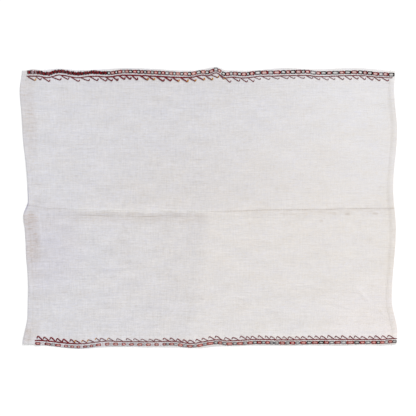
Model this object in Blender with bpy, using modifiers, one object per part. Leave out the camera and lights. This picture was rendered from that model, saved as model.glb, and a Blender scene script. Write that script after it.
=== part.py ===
"""Kilim rug: two long strips of plain undyed cloth, joined selvedge to selvedge along the middle.

Each strip is one woven length. Its two cut ends are turned under into a narrow hem. Its outer selvedge
carries an embroidered edging, which stands a little proud of the cloth, and its inner selvedge meets
the other strip at the middle seam. The rug lies on a floor: it is flat where it touches, its outline
wanders, its edges lift in low ripples, and the seam stands up as a soft ridge over half its length.

Metres, +Z up. X runs along the rug, Y across it, and the floor is Z = 0, under the rug's middle.
"""

import math
from collections import namedtuple

import bmesh
import bpy

MM = 0.001

# Driving sizes of the rug and of its cloth
HALF_LENGTH = 0.930
HALF_WIDTH = 0.693
CLOTH_THICK = 0.0022
HEM_THICK = 0.0042
HEM_WIDTH = 0.022
HEM_STEP = 0.003
SEAM_GAP = 0.0003

# The embroidered edging: a raised band that runs just inside the outer selvedge
EDGING_START = 0.004
EDGING_END = 0.021
EDGING_SLOPE = 0.002
EDGING_THICK = 0.0034

# The soft ridge along the seam, as distances from the seam: level to RIDGE_TOP on its near side and
# then a slope that steepens down to the foot, and a slope that eases out to the foot on its far side
RIDGE_TOP = 0.008
RIDGE_FAR_FOOT = 0.055
RIDGE_SHARPNESS = 2.6

# Spacing of the modelled surface. The rows are closer where the cloth turns: at the ripples, as
# distances from the outer selvedge, and on the ridge's slopes, as distances from the seam
COLUMN_PITCH = 0.026
ROW_PITCH = 0.062
RIPPLE_ROWS = (0.045, 0.080, 0.120)
RIDGE_MARGIN = 0.025
FAR_RIDGE_ROWS = (0.055, 0.036, 0.0165, 0.0)
NEAR_RIDGE_ROWS = (0.048, 0.040, 0.034, 0.030, 0.025, 0.018, 0.008, 0.0)

CLOTH_COLOUR = (0.70, 0.69, 0.68, 1.0)
CLOTH_ROUGHNESS = 0.95
SHARP_ANGLE = 40

# A line of the modelled surface: its mean place, and the cloth's thickness on it
Line = namedtuple("Line", "place thick")

# A crest (out above 0) or a dip (out below 0) of an edge, in millimetres from the mean rectangle
Wave = namedtuple("Wave", "along out")

FAR_EDGE = (
    Wave(along=-922, out=-6),
    Wave(along=-872, out=1),
    Wave(along=-832, out=-5),
    Wave(along=-752, out=4),
    Wave(along=-642, out=-4),
    Wave(along=-400, out=7),
    Wave(along=-92, out=-7),
    Wave(along=38, out=10),
    Wave(along=88, out=-4),
    Wave(along=188, out=-7),
    Wave(along=388, out=8),
    Wave(along=518, out=0),
    Wave(along=735, out=8),
    Wave(along=932, out=-8),
)
NEAR_EDGE = (
    Wave(along=-922, out=-15),
    Wave(along=-645, out=10),
    Wave(along=-457, out=-3),
    Wave(along=-312, out=3),
    Wave(along=-182, out=0),
    Wave(along=-52, out=7),
    Wave(along=28, out=-6),
    Wave(along=118, out=-3),
    Wave(along=298, out=-10),
    Wave(along=392, out=-4),
    Wave(along=452, out=-9),
    Wave(along=548, out=-6),
    Wave(along=668, out=-9),
    Wave(along=838, out=-7),
    Wave(along=937, out=-16),
)
LEFT_END = (
    Wave(along=-720, out=0),
    Wave(along=-540, out=-26),
    Wave(along=-420, out=-31),
    Wave(along=-205, out=-17),
    Wave(along=-120, out=-13),
    Wave(along=-50, out=-5),
    Wave(along=25, out=-28),
    Wave(along=110, out=-26),
    Wave(along=390, out=-1),
    Wave(along=590, out=13),
    Wave(along=700, out=2),
)
RIGHT_END = (
    Wave(along=-667, out=10),
    Wave(along=-635, out=14),
    Wave(along=-465, out=-15),
    Wave(along=-102, out=7),
    Wave(along=97, out=-8),
    Wave(along=392, out=13),
    Wave(along=602, out=-3),
    Wave(along=685, out=2),
)
# The seam's own line, in millimetres from the middle of the rug
SEAM_LINE = (
    Wave(along=-907, out=13),
    Wave(along=-800, out=-3),
    Wave(along=-550, out=-9),
    Wave(along=-350, out=-14),
    Wave(along=60, out=-17),
    Wave(along=120, out=-15),
    Wave(along=300, out=-9),
    Wave(along=560, out=-7),
    Wave(along=700, out=-3),
    Wave(along=922, out=-1),
)
# The height of the seam's ridge along its length, in millimetres
RIDGE_HEIGHT = (
    Wave(along=-900, out=0.8),
    Wave(along=-720, out=1.4),
    Wave(along=-590, out=3.2),
    Wave(along=-520, out=3.2),
    Wave(along=-430, out=2.0),
    Wave(along=-340, out=2.2),
    Wave(along=-290, out=3.6),
    Wave(along=-240, out=3.2),
    Wave(along=-150, out=2.2),
    Wave(along=-60, out=2.0),
    Wave(along=30, out=0.8),
    Wave(along=300, out=0.8),
    Wave(along=900, out=0.6),
)
# The distance of the ridge's near foot from the seam along its length, in millimetres
RIDGE_NEAR_FOOT = (
    Wave(along=-920, out=38),
    Wave(along=-700, out=34),
    Wave(along=-560, out=31),
    Wave(along=-480, out=33),
    Wave(along=-420, out=30),
    Wave(along=-270, out=31),
    Wave(along=-170, out=28),
    Wave(along=-30, out=30),
    Wave(along=150, out=40),
    Wave(along=930, out=46),
)

# A place where an edge lifts off the floor in a ripple, in millimetres: where along the edge, half
# its width there, its height at the edge, and how far it reaches into the cloth
Ripple = namedtuple("Ripple", "edge along half height reach")

RIPPLES = (
    Ripple(edge="far", along=-832, half=70, height=4.5, reach=120),
    Ripple(edge="far", along=-642, half=95, height=4.0, reach=130),
    Ripple(edge="far", along=-230, half=140, height=3.0, reach=140),
    Ripple(edge="far", along=-92, half=70, height=3.5, reach=110),
    Ripple(edge="far", along=38, half=48, height=8.5, reach=125),
    Ripple(edge="far", along=188, half=105, height=3.5, reach=130),
    Ripple(edge="far", along=518, half=100, height=3.0, reach=120),
    Ripple(edge="far", along=880, half=90, height=4.0, reach=120),
    Ripple(edge="near", along=-905, half=110, height=5.5, reach=130),
    Ripple(edge="near", along=-457, half=110, height=4.0, reach=130),
    Ripple(edge="near", along=-182, half=90, height=3.0, reach=110),
    Ripple(edge="near", along=28, half=80, height=4.5, reach=130),
    Ripple(edge="near", along=298, half=95, height=3.5, reach=120),
    Ripple(edge="near", along=452, half=60, height=2.5, reach=100),
    Ripple(edge="near", along=668, half=100, height=3.0, reach=120),
    Ripple(edge="near", along=915, half=90, height=3.5, reach=110),
    Ripple(edge="left", along=-407, half=120, height=4.0, reach=110),
    Ripple(edge="left", along=-75, half=60, height=3.0, reach=95),
    Ripple(edge="left", along=170, half=110, height=3.5, reach=110),
    Ripple(edge="left", along=430, half=70, height=2.5, reach=120),
    Ripple(edge="right", along=-427, half=120, height=4.5, reach=110),
    Ripple(edge="right", along=97, half=110, height=3.5, reach=110),
    Ripple(edge="right", along=560, half=80, height=3.0, reach=120),
)


def smooth(share):
    """0 below 0, 1 above 1, and an even S between them."""
    share = min(max(share, 0.0), 1.0)
    return share * share * (3.0 - 2.0 * share)


def hill(share):
    """A round hill that is 1 at 0 and level with the ground from 1 on, either way."""
    return (1.0 - share * share) ** 2 if abs(share) < 1.0 else 0.0


def wave_at(waves, along):
    """The metres by which a line stands out at one place, level at each crest and dip of its table."""
    along = along / MM
    for here, after in zip(waves, waves[1:]):
        if along <= after.along:
            share = (along - here.along) / (after.along - here.along)
            return (here.out + (after.out - here.out) * smooth(share)) * MM
    return waves[-1].out * MM


def outline_at(x, y):
    """The outline's places level with a point: far, near, left and right, as signed coordinates."""
    return {
        "far": HALF_WIDTH + wave_at(FAR_EDGE, x),
        "near": -HALF_WIDTH - wave_at(NEAR_EDGE, x),
        "left": -HALF_LENGTH - wave_at(LEFT_END, y),
        "right": HALF_LENGTH + wave_at(RIGHT_END, y),
    }


def ridge_at(x, y):
    """The height of the seam's ridge over the floor."""
    beyond = y - wave_at(SEAM_LINE, x)
    if beyond >= 0.0:
        slope = (1.0 - min(beyond / RIDGE_FAR_FOOT, 1.0)) ** 2
    else:
        share = (-beyond - RIDGE_TOP) / (wave_at(RIDGE_NEAR_FOOT, x) - RIDGE_TOP)
        slope = 1.0 - min(max(share, 0.0), 1.0) ** RIDGE_SHARPNESS
    return wave_at(RIDGE_HEIGHT, x) * slope


def height_at(x, y):
    """The height of the cloth's underside over the floor."""
    rim = outline_at(x, y)
    inward = {
        "far": rim["far"] - y,
        "near": y - rim["near"],
        "left": x - rim["left"],
        "right": rim["right"] - x,
    }
    height = ridge_at(x, y)
    for ripple in RIPPLES:
        along = (x if ripple.edge in ("far", "near") else y) / MM
        lift = hill((along - ripple.along) / ripple.half)
        fade = 1.0 - smooth(inward[ripple.edge] / (ripple.reach * MM))
        height += ripple.height * MM * lift * fade
    return height


def even_steps(start, end, pitch):
    """Places from start to end, both included, at about the pitch."""
    count = max(1, round(abs(end - start) / pitch))
    return [start + (end - start) * step / count for step in range(count + 1)]


def columns():
    """Lines across the rug from its left end to its right end, with the doubled cloth of each hem."""
    inner = HALF_LENGTH - HEM_WIDTH - HEM_STEP
    hem = [HALF_LENGTH, HALF_LENGTH - HEM_WIDTH / 2, HALF_LENGTH - HEM_WIDTH]
    left = [Line(-place, HEM_THICK) for place in hem]
    plain = [Line(place, CLOTH_THICK) for place in even_steps(-inner, inner, COLUMN_PITCH)]
    right = [Line(place, HEM_THICK) for place in reversed(hem)]
    return left + plain + right


def rows(ridge_rows):
    """Lines along a strip, placed by their distance from its mean outer selvedge, up to the seam."""
    edging = [
        Line(0.0, CLOTH_THICK),
        Line(EDGING_START, CLOTH_THICK),
        Line(EDGING_START + EDGING_SLOPE, EDGING_THICK),
        Line(EDGING_END - EDGING_SLOPE, EDGING_THICK),
        Line(EDGING_END, CLOTH_THICK),
    ]
    plain = even_steps(RIPPLE_ROWS[-1], HALF_WIDTH - ridge_rows[0] - RIDGE_MARGIN, ROW_PITCH)
    depths = list(RIPPLE_ROWS[:-1]) + plain + [HALF_WIDTH - distance for distance in ridge_rows]
    return edging + [Line(depth, CLOTH_THICK) for depth in depths]


def cloth_material():
    """Undyed hand-spun yarn, plain woven and matt."""
    material = bpy.data.materials.new("cloth")
    material.use_nodes = True
    shader = material.node_tree.nodes["Principled BSDF"]
    shader.inputs["Base Color"].default_value = CLOTH_COLOUR
    shader.inputs["Roughness"].default_value = CLOTH_ROUGHNESS
    shader.inputs["Metallic"].default_value = 0.0
    return material


def woven_strip(name, side, row_lines, material, collection):
    """One strip of the rug: side is 1 for the far one and -1 for the near one."""
    column_lines = columns()
    sheet = bmesh.new()
    bmesh.ops.create_grid(sheet, x_segments=len(column_lines) - 1, y_segments=len(row_lines) - 1, size=1.0)
    thickness = []
    for point in sheet.verts:
        # The grid's own coordinates run from -1 to 1, so they give each point its column and its row.
        column = column_lines[round((point.co.x + 1.0) / 2.0 * (len(column_lines) - 1))]
        row = row_lines[round((1.0 - side * point.co.y) / 2.0 * (len(row_lines) - 1))]
        thickness.append(max(column.thick, row.thick))

        rim = outline_at(column.place, side * (HALF_WIDTH - row.place))
        outer = rim["far"] if side > 0 else rim["near"]
        inner = wave_at(SEAM_LINE, column.place) + side * SEAM_GAP / 2
        x = rim["left"] + (rim["right"] - rim["left"]) * (column.place / HALF_LENGTH + 1.0) / 2.0
        y = outer + (inner - outer) * row.place / HALF_WIDTH
        point.co = (x, y, height_at(x, y))
    mesh = bpy.data.meshes.new(name)
    sheet.to_mesh(mesh)
    sheet.free()
    strip = bpy.data.objects.new(name, mesh)
    collection.objects.link(strip)
    mesh.materials.append(material)

    group = strip.vertex_groups.new(name="thickness")
    for index, thick in enumerate(thickness):
        group.add([index], thick / HEM_THICK, "REPLACE")
    cloth = strip.modifiers.new("cloth thickness", "SOLIDIFY")
    cloth.thickness = HEM_THICK
    cloth.offset = 1.0
    cloth.vertex_group = group.name
    mesh.shade_smooth()
    mesh.set_sharp_from_angle(angle=math.radians(SHARP_ANGLE))


def main():
    for old in list(bpy.data.objects):
        bpy.data.objects.remove(old)
    collection = bpy.data.collections.new("kilim_rug")
    bpy.context.scene.collection.children.link(collection)
    material = cloth_material()
    woven_strip("far_strip", 1, rows(FAR_RIDGE_ROWS), material, collection)
    woven_strip("near_strip", -1, rows(NEAR_RIDGE_ROWS), material, collection)


main()
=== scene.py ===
import math
from collections import namedtuple

import bmesh
import bpy
import numpy as np
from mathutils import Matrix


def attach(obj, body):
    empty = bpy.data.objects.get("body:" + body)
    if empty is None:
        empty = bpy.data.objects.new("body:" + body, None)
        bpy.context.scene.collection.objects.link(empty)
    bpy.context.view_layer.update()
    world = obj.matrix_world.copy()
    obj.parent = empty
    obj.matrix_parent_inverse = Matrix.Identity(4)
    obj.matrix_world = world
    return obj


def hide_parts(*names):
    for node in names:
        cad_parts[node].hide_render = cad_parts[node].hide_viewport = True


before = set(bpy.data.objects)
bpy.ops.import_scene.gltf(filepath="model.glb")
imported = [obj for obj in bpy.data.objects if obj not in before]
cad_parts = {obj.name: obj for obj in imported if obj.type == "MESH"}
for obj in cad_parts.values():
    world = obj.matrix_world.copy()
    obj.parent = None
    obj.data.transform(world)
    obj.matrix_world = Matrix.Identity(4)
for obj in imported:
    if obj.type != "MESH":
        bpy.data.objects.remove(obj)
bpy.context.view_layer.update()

# The view
# The rug lies on a plain pale floor and is seen from straight above, so its length runs across the
# picture. A white dome lights it evenly, and a wide soft lamp beyond its far right corner picks out
# the weave and the ripples.
MM = 0.001
PHOTO_SIDE = 416
PIXEL = 5 * MM
PHOTO_MIDDLE_X = -2.5 * MM
LENS = 85.0
SENSOR = 36.0
FLOOR_SIZE = 40.0
FLOOR_DROP = 0.3 * MM
DOME_LIGHT = 0.74
LAMP_LIGHT = 1.75
LAMP_SPREAD = 0.5
LAMP_TILT = 48.0
LAMP_TURN = -32.0
WHITE = (1.0, 1.0, 1.0, 1.0)
FLOOR_GREY = (0.97, 0.97, 0.97, 1.0)


def add(name, data):
    """A new object in the scene."""
    thing = bpy.data.objects.new(name, data)
    bpy.context.scene.collection.objects.link(thing)
    return thing


def fill(node, values):
    """Sets the inputs of a node."""
    for name, value in values.items():
        node.inputs[name].default_value = value


camera_data = bpy.data.cameras.new("camera")
camera_data.lens = LENS
camera_data.sensor_width = SENSOR
camera = add("camera", camera_data)
camera.location = (PHOTO_MIDDLE_X, 0.0, PHOTO_SIDE * PIXEL * LENS / SENSOR)
bpy.context.scene.camera = camera
bpy.context.scene.view_settings.view_transform = "Standard"

world = bpy.data.worlds.new("dome")
world.use_nodes = True
fill(world.node_tree.nodes["Background"], {"Color": WHITE, "Strength": DOME_LIGHT})
bpy.context.scene.world = world

lamp_data = bpy.data.lights.new("lamp", "SUN")
lamp_data.energy = LAMP_LIGHT
lamp_data.angle = LAMP_SPREAD
lamp = add("lamp", lamp_data)
lamp.rotation_euler = (math.radians(-LAMP_TILT), 0.0, math.radians(LAMP_TURN))

floor_mesh = bpy.data.meshes.new("floor")
half = FLOOR_SIZE / 2
corners = [(x, y, -FLOOR_DROP) for x, y in ((-half, -half), (half, -half), (half, half), (-half, half))]
floor_mesh.from_pydata(corners, [], [(0, 1, 2, 3)])
floor = add("floor", floor_mesh)
floor_material = bpy.data.materials.new("floor_paint")
floor_material.use_nodes = True
floor_shader = floor_material.node_tree.nodes["Principled BSDF"]
fill(floor_shader, {"Base Color": FLOOR_GREY, "Roughness": 1.0, "Specular IOR Level": 0.0})
floor_mesh.materials.append(floor_material)

# The two strips of cloth
# Each strip is one loom length of undyed hand-spun yarn in plain weave, about 69 cm wide, with its
# warp along the rug. Its two cut ends are turned under into narrow hems. The strips meet along the
# middle, where the cloth stands up in a soft ridge over the left half of the rug.
HALF_LENGTH = 930 * MM
HALF_WIDTH = 693 * MM
CLOTH_THICK = 2.2 * MM
HEM_THICK = 4.2 * MM
HEM_WIDTH = 22 * MM
HEM_STEP = 3 * MM
HEM_SEAM = 25 * MM
HEM_SEAM_WIDTH = 9 * MM
HEM_SEAM_DEPTH = 0.06 * MM
SEAM_GAP = 0.12 * MM
RIDGE_TOP = 8 * MM
RIDGE_FAR_FOOT = 55 * MM
RIDGE_SHARPNESS = 2.6

Wave = namedtuple("Wave", "along out")


def table(*rows, kind=Wave):
    """Rows with named columns, such as a place in millimetres and how far a line stands out there."""
    return [kind(*row) for row in rows]


FAR_EDGE = table(
    (-922, -6), (-872, 1), (-832, -5), (-752, 4), (-642, -4), (-400, 7), (-92, -7), (38, 10), (88, -4),
    (188, -7), (388, 8), (518, 0), (735, 8), (932, -8),
)
NEAR_EDGE = table(
    (-922, -15), (-645, 10), (-457, -3), (-312, 3), (-182, 0), (-52, 7), (28, -6), (118, -3), (298, -10),
    (392, -4), (452, -9), (548, -6), (668, -9), (838, -7), (937, -16),
)
LEFT_END = table(
    (-720, 0), (-540, -26), (-420, -31), (-205, -17), (-120, -13), (-50, -5), (25, -28), (110, -26),
    (390, -1), (590, 13), (700, 2),
)
RIGHT_END = table(
    (-667, 10), (-635, 14), (-465, -15), (-102, 7), (97, -8), (392, 13), (602, -3), (685, 2),
)
SEAM_LINE = table(
    (-907, 13), (-800, -3), (-550, -9), (-350, -14), (60, -17), (120, -15), (300, -9), (560, -7),
    (700, -3), (922, -1),
)
RIDGE_HEIGHT = table(
    (-900, 0.8), (-720, 1.4), (-590, 3.2), (-520, 3.2), (-430, 2), (-340, 2.2), (-290, 3.6), (-240, 3.2),
    (-150, 2.2), (-60, 2), (30, 0.8), (300, 0.8), (900, 0.6),
)
RIDGE_NEAR_FOOT = table(
    (-920, 38), (-700, 34), (-560, 31), (-480, 33), (-420, 30), (-270, 31), (-170, 28), (-30, 30),
    (150, 40), (930, 46),
)
SEAM_ROUNDING = table(
    (-930, 0.3), (-745, 0.2), (-690, 0.04), (50, 0.04), (95, 0.3), (300, 0.2), (930, 0.22),
)

# A ripple at an edge, in millimetres: its middle along the edge, half its length, its height, and how
# far it reaches into the cloth
Ripple = namedtuple("Ripple", "along half height reach")
RIPPLES = {
    "far": table(
        (-832, 70, 4.5, 120), (-642, 95, 4, 130), (-230, 140, 3, 140), (-92, 70, 3.5, 110),
        (38, 48, 8.5, 125), (188, 105, 3.5, 130), (518, 100, 3, 120), (880, 90, 4, 120), kind=Ripple,
    ),
    "near": table(
        (-905, 110, 5.5, 130), (-457, 110, 4, 130), (-182, 90, 3, 110), (28, 80, 4.5, 130),
        (298, 95, 3.5, 120), (452, 60, 2.5, 100), (668, 100, 3, 120), (915, 90, 3.5, 110), kind=Ripple,
    ),
    "left": table(
        (-407, 120, 4, 110), (-75, 60, 3, 95), (170, 110, 3.5, 110), (430, 70, 2.5, 120), kind=Ripple,
    ),
    "right": table(
        (-427, 120, 4.5, 110), (97, 110, 3.5, 110), (560, 80, 3, 120), kind=Ripple,
    ),
}

# A soft crease in the cloth, in millimetres and degrees: its middle, half its length, the way it
# runs, how far it bows to its left, half its width, and how far it stands up
Crease = namedtuple("Crease", "x y run angle bow half height")
CREASES = table(
    (-455, -288, 125, 3, -14, 16, 1.5), (-470, -316, 75, 2, -8, 12, -0.6),
    (-462, -447, 45, 2, 3, 11, 0.8), (767, -437, 85, -51, 5, 15, 1.7), (872, -525, 62, -45, 0, 12, 1.2),
    (557, -410, 110, -19, 6, 16, 0.8), (657, -490, 110, -17, 4, 14, 0.7),
    (145, -455, 75, -14, 9, 12, 0.9), (160, -492, 60, -22, 6, 10, 0.6), (-897, 458, 45, -4, 0, 8, 0.9),
    (-895, 424, 55, 3, 0, 8, 0.7), (-892, 347, 50, 0, 0, 9, 0.7), (-893, -52, 50, 4, 0, 9, 1),
    (-670, 378, 60, -3, 4, 10, 0.7), (-572, 140, 45, 2, 0, 9, 0.6), kind=Crease,
)

COLUMN_COUNT = 222
ROW_COUNT = 318
UNDER_ROW_STEP = 4
ROUND_LINES = (0.0, 0.12 * MM, 0.45 * MM, 1.1 * MM, 2.3 * MM)

# The layers of unevenness in the cloth's face, in millimetres: two of thick and thin yarns along the
# warp, and two of slow puckering
Layer = namedtuple("Layer", "height pitch_x pitch_y seed")
RELIEF = table(
    (0.16, 46, 5.5, 11), (0.12, 17, 4.5, 12), (0.22, 70, 26, 13), (0.3, 160, 60, 14), kind=Layer,
)
LATTICE_LENGTH = 2.2
LATTICE_WIDTH = 1.7


def smooth(share):
    """0 below 0, 1 above 1, and an even S between them."""
    share = np.clip(share, 0, 1)
    return share * share * (3.0 - 2.0 * share)


def hill(share):
    """A round hill that is 1 at 0 and level with the ground from 1 on, either way."""
    return np.maximum(1.0 - share * share, 0.0) ** 2


def level_at(waves, along):
    """A table's value at each place, which levels out at each of the table's own places."""
    knots = np.array([wave.along for wave in waves]) * MM
    levels = np.array([wave.out for wave in waves])
    after = np.clip(np.searchsorted(knots, along), 1, len(knots) - 1)
    share = (along - knots[after - 1]) / (knots[after] - knots[after - 1])
    return levels[after - 1] + (levels[after] - levels[after - 1]) * smooth(share)


def wave_at(waves, along):
    """The metres by which a line stands out at each place."""
    return level_at(waves, along) * MM


def outline_at(x, y):
    """The outline's places level with each point, as signed coordinates."""
    return {
        "far": HALF_WIDTH + wave_at(FAR_EDGE, x),
        "near": -HALF_WIDTH - wave_at(NEAR_EDGE, x),
        "left": -HALF_LENGTH - wave_at(LEFT_END, y),
        "right": HALF_LENGTH + wave_at(RIGHT_END, y),
    }


def crease_at(x, y):
    """The height of all the creases at each point."""
    height = np.zeros_like(x)
    for crease in CREASES:
        turn = math.radians(crease.angle)
        east, north = x / MM - crease.x, y / MM - crease.y
        along = (east * math.cos(turn) + north * math.sin(turn)) / crease.run
        across = north * math.cos(turn) - east * math.sin(turn) - crease.bow * (1.0 - along * along)
        height += crease.height * MM * hill(along) * hill(across / crease.half)
    return height


def inward_at(x, y):
    """How far each point lies inside each edge."""
    rim = outline_at(x, y)
    return {
        "far": rim["far"] - y,
        "near": y - rim["near"],
        "left": x - rim["left"],
        "right": rim["right"] - x,
    }


def lift_at(x, y):
    """The height of the underside over the floor: the seam's ridge, the ripples and the creases."""
    inward = inward_at(x, y)
    beyond = y - wave_at(SEAM_LINE, x)
    far_slope = (1.0 - np.clip(beyond / RIDGE_FAR_FOOT, 0, 1)) ** 2
    near_share = (-beyond - RIDGE_TOP) / (wave_at(RIDGE_NEAR_FOOT, x) - RIDGE_TOP)
    near_slope = 1.0 - np.clip(near_share, 0, 1) ** RIDGE_SHARPNESS
    height = wave_at(RIDGE_HEIGHT, x) * np.where(beyond >= 0.0, far_slope, near_slope)
    for edge, ripples in RIPPLES.items():
        along = (x if edge in ("far", "near") else y) / MM
        for ripple in ripples:
            swell = hill((along - ripple.along) / ripple.half)
            height += ripple.height * MM * swell * (1.0 - smooth(inward[edge] / (ripple.reach * MM)))
    return height + crease_at(x, y)


def patches(x, y, layer):
    """A layer's smooth random height at each point, about -1 to 1."""
    grain = np.random.default_rng(layer.seed)
    pitch_x, pitch_y = layer.pitch_x * MM, layer.pitch_y * MM
    columns, rows = int(LATTICE_LENGTH / pitch_x) + 3, int(LATTICE_WIDTH / pitch_y) + 3
    lattice = grain.uniform(-1.0, 1.0, (columns, rows))
    u, v = (x + LATTICE_LENGTH / 2) / pitch_x, (y + LATTICE_WIDTH / 2) / pitch_y
    i, j = u.astype(int), v.astype(int)
    s, t = smooth(u - i), smooth(v - j)
    near = lattice[i, j] * (1 - s) + lattice[i + 1, j] * s
    far = lattice[i, j + 1] * (1 - s) + lattice[i + 1, j + 1] * s
    return near * (1 - t) + far * t


def relief_at(x, y):
    """The unevenness of the cloth's face, from all its layers."""
    return sum(layer.height * patches(x, y, layer) for layer in RELIEF) * MM


def spaced(start, end, count, round_start, round_end):
    """Places from start to end: even, with the close lines of a rounded edge added where asked."""
    first = [start + line for line in ROUND_LINES] if round_start else [start]
    last = [end - line for line in reversed(ROUND_LINES)] if round_end else [end]
    inner = np.linspace(first[-1], last[0], count - len(first) - len(last) + 2)
    return np.concatenate([first, inner[1:-1], last])


def rounding(distance, thick, share=1.0):
    """The share of the full thickness at a distance from a rounded edge."""
    radius = thick / 2 * share
    return np.sqrt(1.0 - (1.0 - np.clip(distance / radius, 0, 1)) ** 2)


def strip_points(side):
    """A strip's points, as arrays of rows and columns: x, y, the underside's z and the face's z."""
    place = spaced(-HALF_LENGTH, HALF_LENGTH, COLUMN_COUNT, True, True)[None, :]
    depth = spaced(0.0, HALF_WIDTH, ROW_COUNT, True, True)[:, None]
    mean_x = np.broadcast_to(place, (ROW_COUNT, COLUMN_COUNT))
    mean_y = np.broadcast_to(side * (HALF_WIDTH - depth), (ROW_COUNT, COLUMN_COUNT))
    rim = outline_at(mean_x, mean_y)
    outer = rim["far"] if side > 0 else rim["near"]
    inner = wave_at(SEAM_LINE, mean_x) + side * SEAM_GAP / 2
    x = rim["left"] + (rim["right"] - rim["left"]) * (mean_x / HALF_LENGTH + 1.0) / 2.0
    y = outer + (inner - outer) * depth / HALF_WIDTH

    from_end = HALF_LENGTH - np.abs(mean_x)
    hem = 1.0 - smooth((from_end - HEM_WIDTH) / HEM_STEP)
    thick = CLOTH_THICK + (HEM_THICK - CLOTH_THICK) * hem
    fullness = rounding(from_end, HEM_THICK) * rounding(depth, CLOTH_THICK)
    fullness = fullness * rounding(HALF_WIDTH - depth, CLOTH_THICK, level_at(SEAM_ROUNDING, mean_x))
    lift = lift_at(x, y)
    under = np.maximum(lift, 0.0) + thick * (1.0 - fullness) / 2
    face = lift + thick * (1.0 + fullness) / 2 + relief_at(x, y) * fullness
    face = face - HEM_SEAM_DEPTH * hill((from_end - HEM_SEAM) / HEM_SEAM_WIDTH)
    return x, y, under, face


def strip_mesh(name, side):
    """A closed mesh of one strip. The face is fine, and the underside has fewer rows."""
    x, y, under, face = strip_points(side)
    close = len(ROUND_LINES)
    ends = {*range(close), *range(ROW_COUNT - close, ROW_COUNT)}
    rows = sorted(ends | set(range(0, ROW_COUNT, UNDER_ROW_STEP)))
    face_index = np.arange(ROW_COUNT * COLUMN_COUNT).reshape(ROW_COUNT, COLUMN_COUNT)
    under_index = face_index[rows].copy()
    inner_rows = rows[1:-1]
    new = face_index.size + np.arange(len(inner_rows) * (COLUMN_COUNT - 2))
    under_index[1:-1, 1:-1] = new.reshape(len(inner_rows), COLUMN_COUNT - 2)

    face_points = np.stack([x, y, face], axis=-1).reshape(-1, 3)
    under_points = np.stack([x, y, under], axis=-1)[inner_rows][:, 1:-1].reshape(-1, 3)
    turned = side < 0

    def four(index, flip):
        """The quads of a grid, whose rows run from the outer selvedge to the seam."""
        corners = [index[:-1, :-1], index[1:, :-1], index[1:, 1:], index[:-1, 1:]]
        quads = np.stack([corner.ravel() for corner in corners], axis=-1)
        return (quads[:, ::-1] if flip else quads).tolist()

    polygons = four(face_index, turned) + four(under_index[:, 1:-1], not turned)
    for column, beside in ((0, 1), (-1, -2)):
        for place, (start, end) in enumerate(zip(rows, rows[1:])):
            rim = face_index[start:end + 1, column].tolist()
            polygon = rim + [int(under_index[place + 1, beside]), int(under_index[place, beside])]
            forward = (column == 0) == (not turned)
            polygons.append(polygon[::-1] if forward else polygon)
    mesh = bpy.data.meshes.new(name)
    points = np.concatenate([face_points, under_points])
    mesh.from_pydata(points.tolist(), [], polygons)
    mesh.shade_smooth()
    x, y = points[:, 0], points[:, 1]
    inward = inward_at(x, y)
    distances = {"from_left": inward["left"], "from_right": inward["right"]}
    distances["from_seam"] = y - wave_at(SEAM_LINE, x)
    distances["from_long_edge"] = np.minimum(inward["far"], inward["near"])
    for name, values in distances.items():
        mesh.attributes.new(name, "FLOAT", "POINT").data.foreach_set("value", values)
    return mesh


# The sockets that Blender's nodes name alike, so they are asked for by number
MIX_SHARE, MIX_FIRST, MIX_SECOND, MIX_RESULT = 0, 6, 7, 2
CHANCE_LEAST, CHANCE_MOST, CHANCE_RESULT = 2, 3, 1


def operator(operation, reflected=False):
    """An operator of a wire with another wire or a number, or its reflected form."""
    def work(wire, other):
        return wire.math(operation, other, wire) if reflected else wire.math(operation, wire, other)
    return work


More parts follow.
